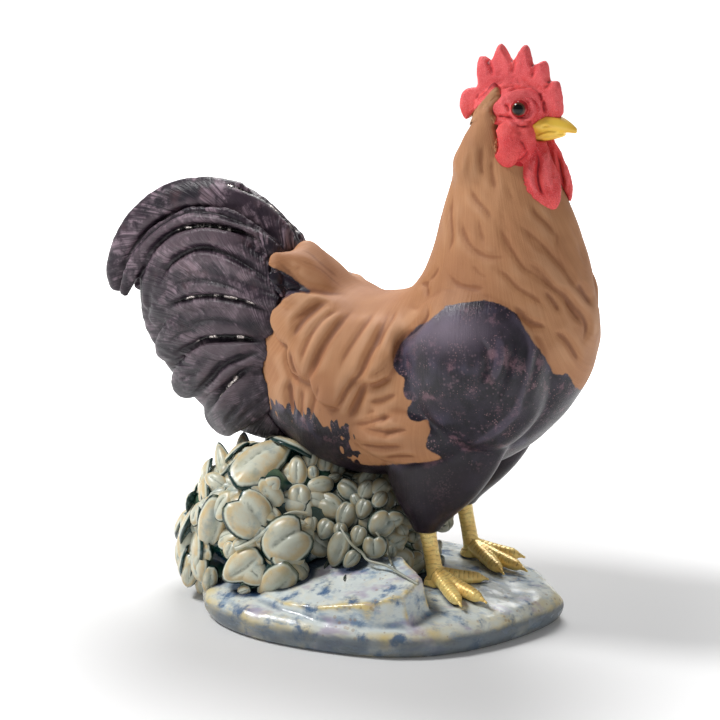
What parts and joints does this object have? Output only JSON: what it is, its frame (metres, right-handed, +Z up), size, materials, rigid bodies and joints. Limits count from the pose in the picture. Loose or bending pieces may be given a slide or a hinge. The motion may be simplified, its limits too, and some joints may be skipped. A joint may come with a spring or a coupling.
{
  "type": "porcelain rooster figurine",
  "caption": "Standing rooster figurine in bisque and glazed porcelain, with a fanned sickle tail and gilded legs, on a glazed rocky base with a leafy mound and a boulder.",
  "frame": {"origin": "on the flat underside of the base, in the bird's plane of symmetry and under its back", "axes": "+X the way the bird faces, +Y its left, +Z up"},
  "size_m": [0.2757, 0.1445, 0.2888],
  "materials": {
    "rock_glaze": "gloss, mottled",
    "leaf_glaze": "gloss, pooled",
    "red_bisque": "satin",
    "beak_glaze": "satin",
    "eye_enamel": "gloss",
    "gilded_ceramic": "gilded",
    "tail_glaze": "satin",
    "purple_glaze": "satin, speckled",
    "tan_bisque": "matt"
  },
  "bodies": {
    "root": {"base_slab": "rock_glaze", "belly_prop": "leaf_glaze", "body_shell": "tan_bisque", "comb": "red_bisque", "face": "red_bisque", "far_leaf_spray": "leaf_glaze", "front_boulder": "rock_glaze", "leaf_mound": "leaf_glaze", "left_earlobe": "red_bisque", "left_eye": "eye_enamel", "left_foot": "gilded_ceramic", "left_rump_crest": "tan_bisque", "left_saddle_feather_1": "tan_bisque", "left_saddle_feather_2": "tan_bisque", "left_saddle_feather_3": "tan_bisque", "left_saddle_feather_4": "tan_bisque", "left_shank": "gilded_ceramic", "left_sickle_feather_1": "tail_glaze", "left_sickle_feather_2": "tail_glaze", "left_sickle_feather_3": "tail_glaze", "left_sickle_feather_4": "tail_glaze", "left_small_leaves": "leaf_glaze", "left_tail_covert_1": "tail_glaze", "left_tail_covert_2": "tail_glaze", "left_tail_covert_3": "tail_glaze", "left_thigh": "purple_glaze", "left_wattle": "red_bisque", "left_wing_bow": "purple_glaze", "left_wing_flights": "tan_bisque", "lower_beak": "beak_glaze", "lower_leaf_spray": "leaf_glaze", "middle_leaf_spray": "leaf_glaze", "rear_leaf_spray": "leaf_glaze", "right_earlobe": "red_bisque", "right_eye": "eye_enamel", "right_foot": "gilded_ceramic", "right_rump_crest": "tan_bisque", "right_saddle_feather_1": "tan_bisque", "right_saddle_feather_2": "tan_bisque", "right_saddle_feather_3": "tan_bisque", "right_saddle_feather_4": "tan_bisque", "right_shank": "gilded_ceramic", "right_sickle_feather_1": "tail_glaze", "right_sickle_feather_2": "tail_glaze", "right_sickle_feather_3": "tail_glaze", "right_sickle_feather_4": "tail_glaze", "right_small_leaves": "leaf_glaze", "right_tail_covert_1": "tail_glaze", "right_tail_covert_2": "tail_glaze", "right_tail_covert_3": "tail_glaze", "right_thigh": "purple_glaze", "right_wattle": "red_bisque", "right_wing_bow": "purple_glaze", "right_wing_flights": "tan_bisque", "tail_core": "tail_glaze", "top_sickle_feather": "tail_glaze", "trailing_stem": "leaf_glaze", "upper_beak": "beak_glaze", "upper_leaf_spray": "leaf_glaze"}
  },
  "joints": []
}
